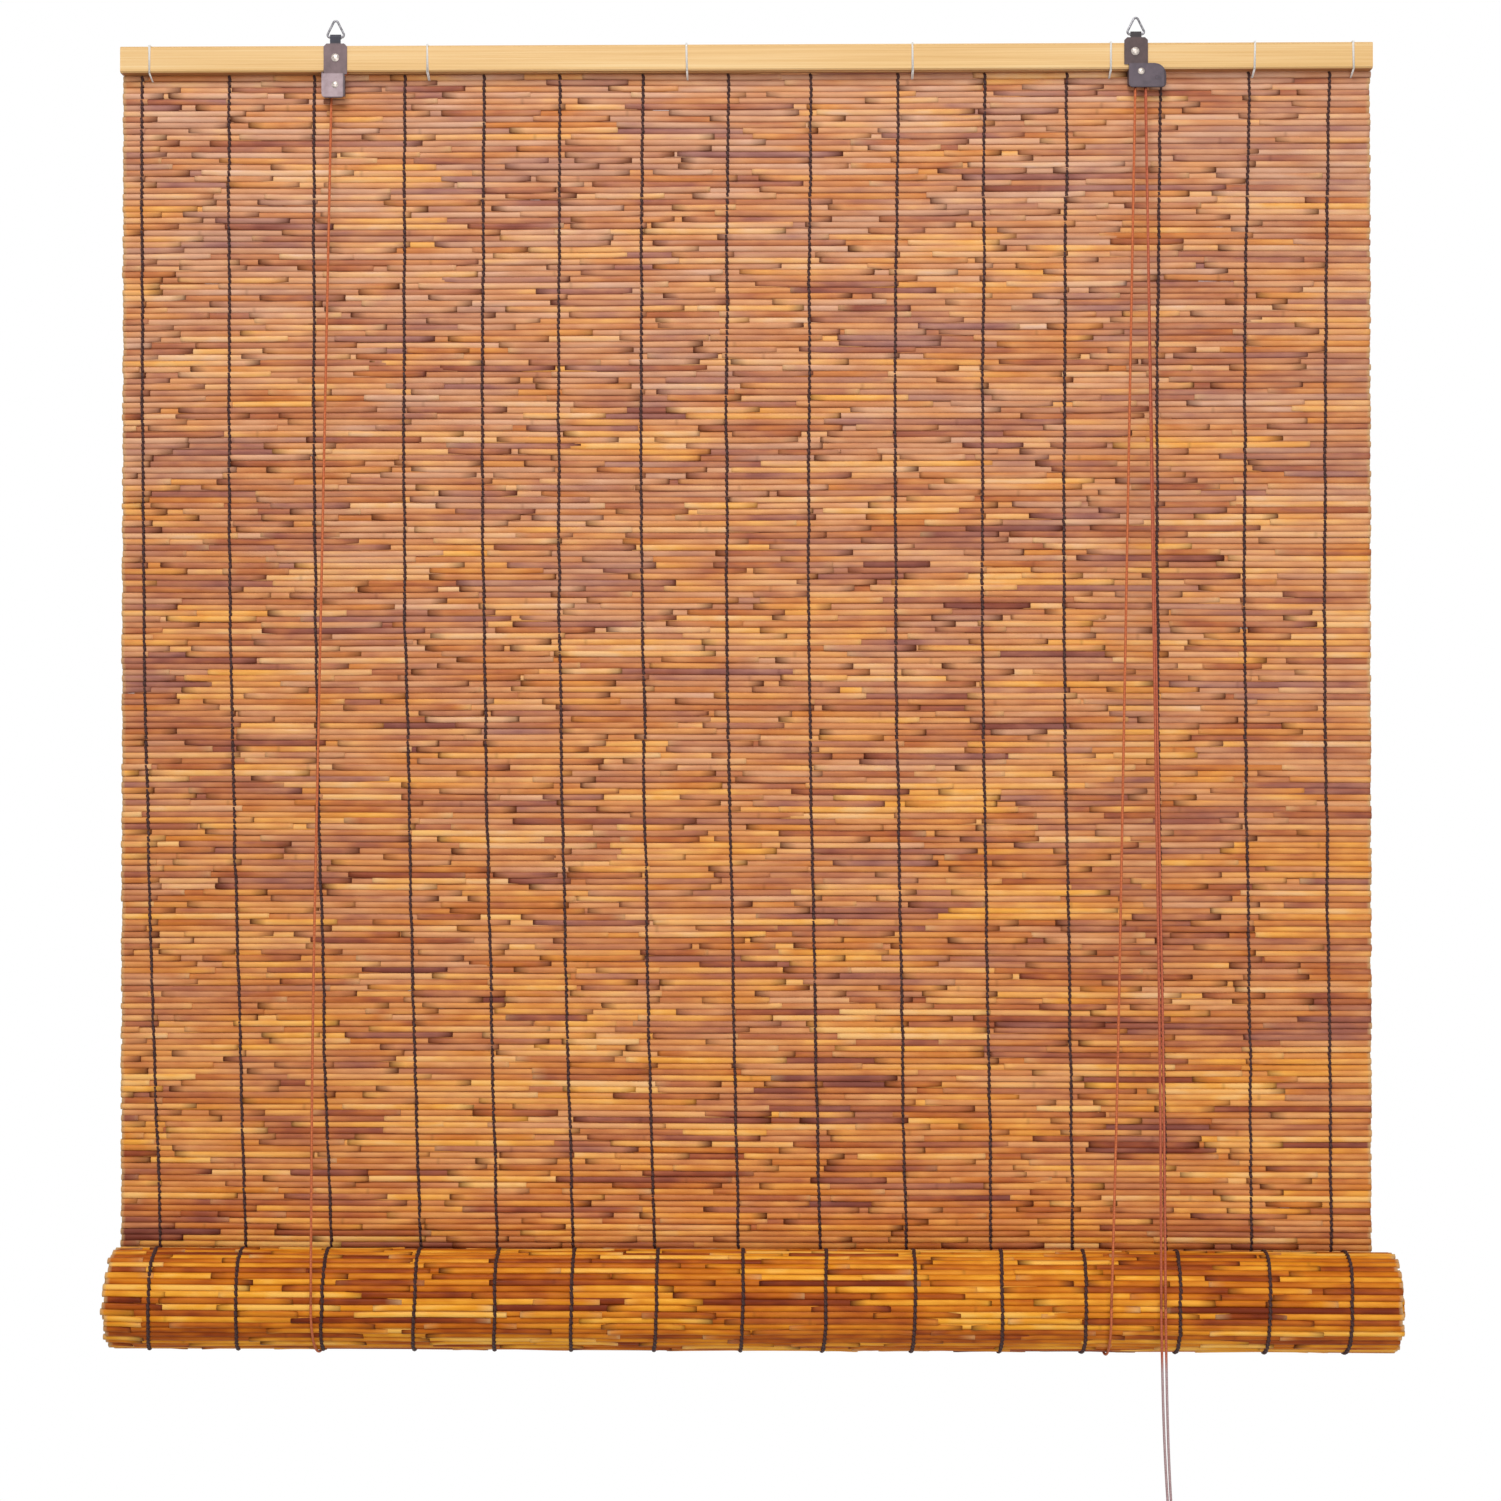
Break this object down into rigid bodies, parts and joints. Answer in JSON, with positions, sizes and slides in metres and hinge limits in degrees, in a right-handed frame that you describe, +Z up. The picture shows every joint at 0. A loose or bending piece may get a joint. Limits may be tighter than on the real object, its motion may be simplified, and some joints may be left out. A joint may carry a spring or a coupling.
{
  "type": "roll-up reed blind",
  "caption": "Roll-up reed blind hung by wire loops: a stitched reed mat on a pale head rail, wound into a roll from below by lift cords with pulleys and a cord lock.",
  "frame": {"origin": "on the line of the hooks' seats in the hanger loops, above the middle of the head rail", "axes": "+X to the right seen from the room, +Y to the wall, +Z up"},
  "size_m": [0.906, 0.0887, 1.1038],
  "materials": {
    "pale_bamboo": "satin",
    "reed": "satin",
    "rolled_reed": "satin",
    "dark_thread": "matte",
    "white_thread": "matte",
    "grey_steel": "satin",
    "dark_steel": "satin",
    "wire": "satin",
    "bright_rivet": "polished",
    "brass": "satin",
    "lift_cord": "matte",
    "pull_cord": "matte",
    "pull_wood": "satin"
  },
  "bodies": {
    "head": {"head_rail": "pale_bamboo", "reed_mat": "reed", "mat_stitch_threads": "dark_thread", "rail_ties": "white_thread", "left_bracket": "grey_steel", "right_bracket": "dark_steel", "left_bracket_nail": "bright_rivet", "right_bracket_nail": "bright_rivet", "left_pulley_axle": "bright_rivet", "right_pulley_axle": "bright_rivet", "lock_cam_pin": "dark_steel", "left_cord_front_run": "lift_cord", "left_cord_back_run": "lift_cord", "left_cord_cross_run": "lift_cord", "right_cord_front_run": "lift_cord", "right_cord_back_run": "lift_cord", "right_cord_turn": "lift_cord", "left_cord_staple": "wire", "right_cord_staple": "wire", "left_cord_knot": "lift_cord", "right_cord_knot": "lift_cord", "pull_cord_a_upper": "pull_cord", "pull_cord_b_upper": "pull_cord"},
    "cord_cradle": {"left_cord_bight": "lift_cord", "right_cord_bight": "lift_cord"},
    "roll": {"reed_roll": "rolled_reed", "bottom_batten": "pale_bamboo", "roll_stitch_threads": "dark_thread"},
    "pull": {"cord_pull": "pull_wood", "pull_knot": "pull_cord", "pull_cord_a_lower": "pull_cord", "pull_cord_b_lower": "pull_cord"},
    "left_pulley": {"left_pulley": "brass"},
    "right_pulley": {"right_pulley": "brass"},
    "lock_cam": {"lock_cam": "brass"},
    "left_loop": {"left_hanger_loop": "wire"},
    "right_loop": {"right_hanger_loop": "wire"}
  },
  "joints": [
    {"name": "roll_lift", "type": "slide", "parent": "head", "child": "cord_cradle", "axis": [0, 0, 1], "range_m": [0, 0.78], "deforming": ["reed_mat", "mat_stitch_threads", "left_cord_front_run", "right_cord_front_run", "left_cord_back_run", "right_cord_back_run", "pull_cord_a_upper", "pull_cord_b_upper"]},
    {"name": "roll_spin", "type": "hinge", "parent": "cord_cradle", "child": "roll", "pos_m": [0, -0.02605, -0.91105], "axis": [1, 0, 0], "range_deg": [-1081, 0]},
    {"name": "pull_drop", "type": "slide", "parent": "cord_cradle", "child": "pull", "axis": [0, 0, 1], "range_m": [-2.341, 0], "deforming": ["pull_cord_a_lower", "pull_cord_b_lower"]},
    {"name": "left_pulley_spin", "type": "hinge", "parent": "head", "child": "left_pulley", "pos_m": [-0.2943, 0.0017, -0.0456], "axis": [0, 1, 0], "continuous": true},
    {"name": "right_pulley_spin", "type": "hinge", "parent": "head", "child": "right_pulley", "pos_m": [0.2843, 0.0017, -0.0381], "axis": [0, 1, 0], "continuous": true},
    {"name": "lock_cam_swing", "type": "hinge", "parent": "head", "child": "lock_cam", "pos_m": [0.2957, 0.0017, -0.0427], "axis": [0, -1, 0], "range_deg": [0, 30]},
    {"name": "left_loop_swing", "type": "hinge", "parent": "head", "child": "left_loop", "pos_m": [-0.2943, 0, -0.01098], "axis": [1, 0, 0], "range_deg": [-90, 90]},
    {"name": "right_loop_swing", "type": "hinge", "parent": "head", "child": "right_loop", "pos_m": [0.2808, 0, -0.01098], "axis": [1, 0, 0], "range_deg": [-90, 90]}
  ],
  "couplings": [
    {"joint": "roll_spin", "follows": "roll_lift", "rad_per_m": -24.166},
    {"joint": "pull_drop", "follows": "roll_lift", "ratio": -3},
    {"joint": "left_pulley_spin", "follows": "roll_lift", "rad_per_m": 547.95},
    {"joint": "right_pulley_spin", "follows": "roll_lift", "rad_per_m": 547.95}
  ]
}
